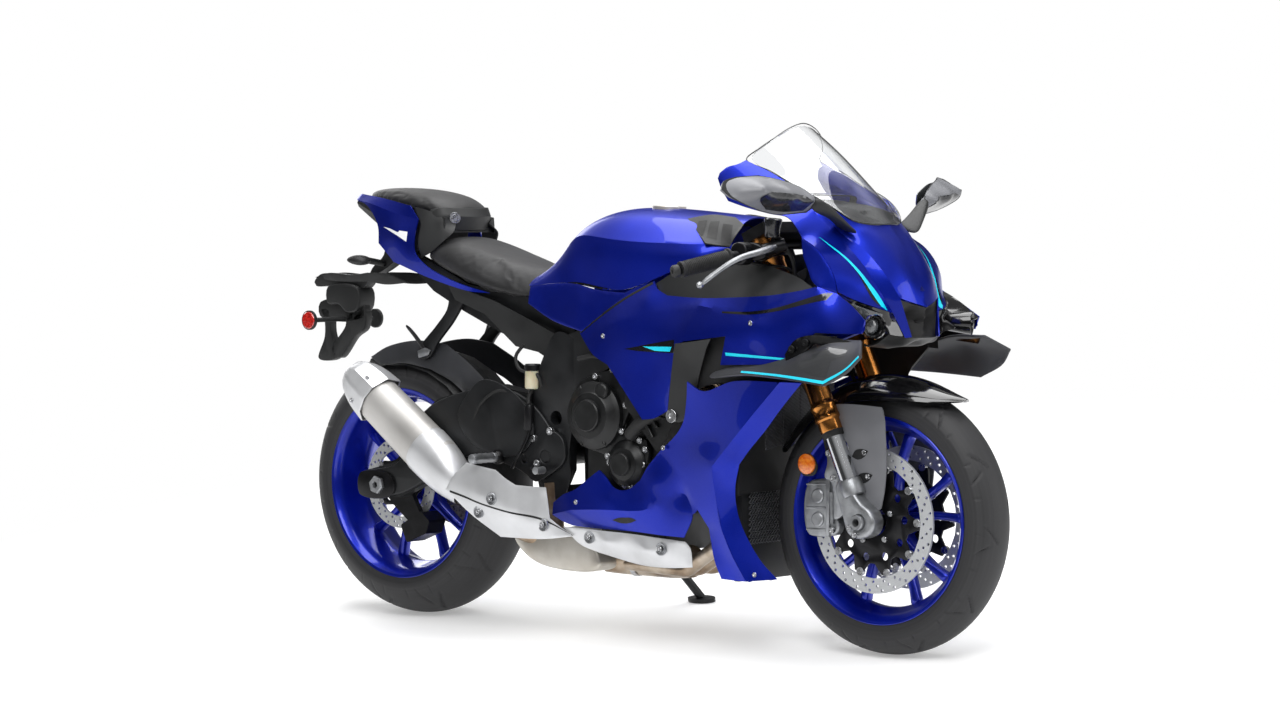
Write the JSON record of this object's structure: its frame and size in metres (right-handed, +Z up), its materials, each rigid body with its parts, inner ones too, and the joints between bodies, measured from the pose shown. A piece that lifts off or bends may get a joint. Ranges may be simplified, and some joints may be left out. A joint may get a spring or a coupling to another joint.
{
  "type": "sport motorcycle",
  "caption": "Faired sport motorcycle with blue bodywork, twin-beam frame, upside-down fork, drilled discs, slanted silencer and side stand.",
  "frame": {"origin": "centre of the footprint on the floor, the bike parked and leaning to its left on the side stand", "axes": "+X forward, +Y to the rider's left, +Z up"},
  "size_m": [2.0368, 0.8894, 1.1623],
  "materials": {
    "blue_paint": "gloss royal blue paint",
    "blue_wheel": "gloss blue powder coat",
    "black_frame": "satin black paint",
    "black_plastic": "matt black moulding",
    "black_gloss": "gloss black moulding",
    "cover_black": "satin black cast cover",
    "steel": "brushed stainless steel",
    "titanium": "matt titanium",
    "gold": "gold anodised",
    "chrome": "hard chrome and silver paint",
    "caliper": "silver grey anodised",
    "rubber": "black rubber",
    "tyre": "black tyre rubber",
    "seat": "black grained seat cover",
    "screen": "clear polycarbonate",
    "lamp": "clear lamp lens",
    "amber": "amber lens",
    "spring": "grey coil spring"
  },
  "bodies": {
    "chassis": {"belly_fairings": "blue_paint", "cockpit": "black_plastic", "drive_chain": "steel", "engine_block": "black_frame", "engine_covers": "cover_black", "exhaust_box": "steel", "exhaust_headers": "steel", "exhaust_shields": "steel", "fairing_vanes": "black_plastic", "front_cowl": "blue_paint", "fuel_tank": "blue_paint", "headlights": "lamp", "main_frame": "black_frame", "mirrors": "black_gloss", "passenger_footrests": "black_frame", "passenger_seat": "seat", "plate_hanger": "black_plastic", "radiator": "black_plastic", "rear_axle": "steel", "rear_caliper": "caliper", "rear_hugger": "black_plastic", "rear_shock": "spring", "rear_signals": "amber", "rider_footrests": "black_frame", "rider_seat": "seat", "side_fairings": "blue_paint", "silencer": "titanium", "subframe": "black_frame", "swingarm": "black_frame", "tail_panels": "blue_paint", "tail_undertray": "black_plastic", "tank_side_covers": "black_plastic", "windscreen": "screen", "winglets": "black_gloss"},
    "steering": {"yokes": "black_frame", "fork_tubes": "gold", "fork_legs": "chrome", "front_axle": "steel", "front_calipers": "caliper", "handlebars": "rubber", "hand_controls": "caliper", "front_mudguard": "black_gloss", "brake_hoses": "rubber"},
    "front_wheel": {"front_rim": "blue_wheel", "front_tyre": "tyre", "front_discs": "steel"},
    "rear_wheel": {"rear_rim": "blue_wheel", "rear_tyre": "tyre", "rear_disc": "steel", "rear_sprocket": "steel"},
    "side_stand": {"side_stand": "black_frame"},
    "fuel_lid": {"fuel_lid": "caliper"}
  },
  "joints": [
    {"name": "steering_turn", "type": "hinge", "parent": "chassis", "child": "steering", "pos_m": [0.50894, -0.04975, 0.69259], "axis": [-0.4067, 0.1429, 0.9023], "range_deg": [-27, 27]},
    {"name": "front_wheel_spin", "type": "hinge", "parent": "steering", "child": "front_wheel", "pos_m": [0.7186, -0.11235, 0.29732], "axis": [0, 0.9877, -0.1564], "continuous": true},
    {"name": "rear_wheel_spin", "type": "hinge", "parent": "chassis", "child": "rear_wheel", "pos_m": [-0.6864, -0.10913, 0.31766], "axis": [0, 0.9877, -0.1564], "continuous": true},
    {"name": "side_stand_fold", "type": "hinge", "parent": "chassis", "child": "side_stand", "pos_m": [-0.1314, 0.01211, 0.23933], "axis": [0, 0.9877, -0.1564], "range_deg": [0, 95]},
    {"name": "fuel_lid_open", "type": "hinge", "parent": "chassis", "child": "fuel_lid", "pos_m": [0.12397, -0.00391, 0.98197], "axis": [0, 0.9877, -0.1564], "range_deg": [0, 100]}
  ]
}
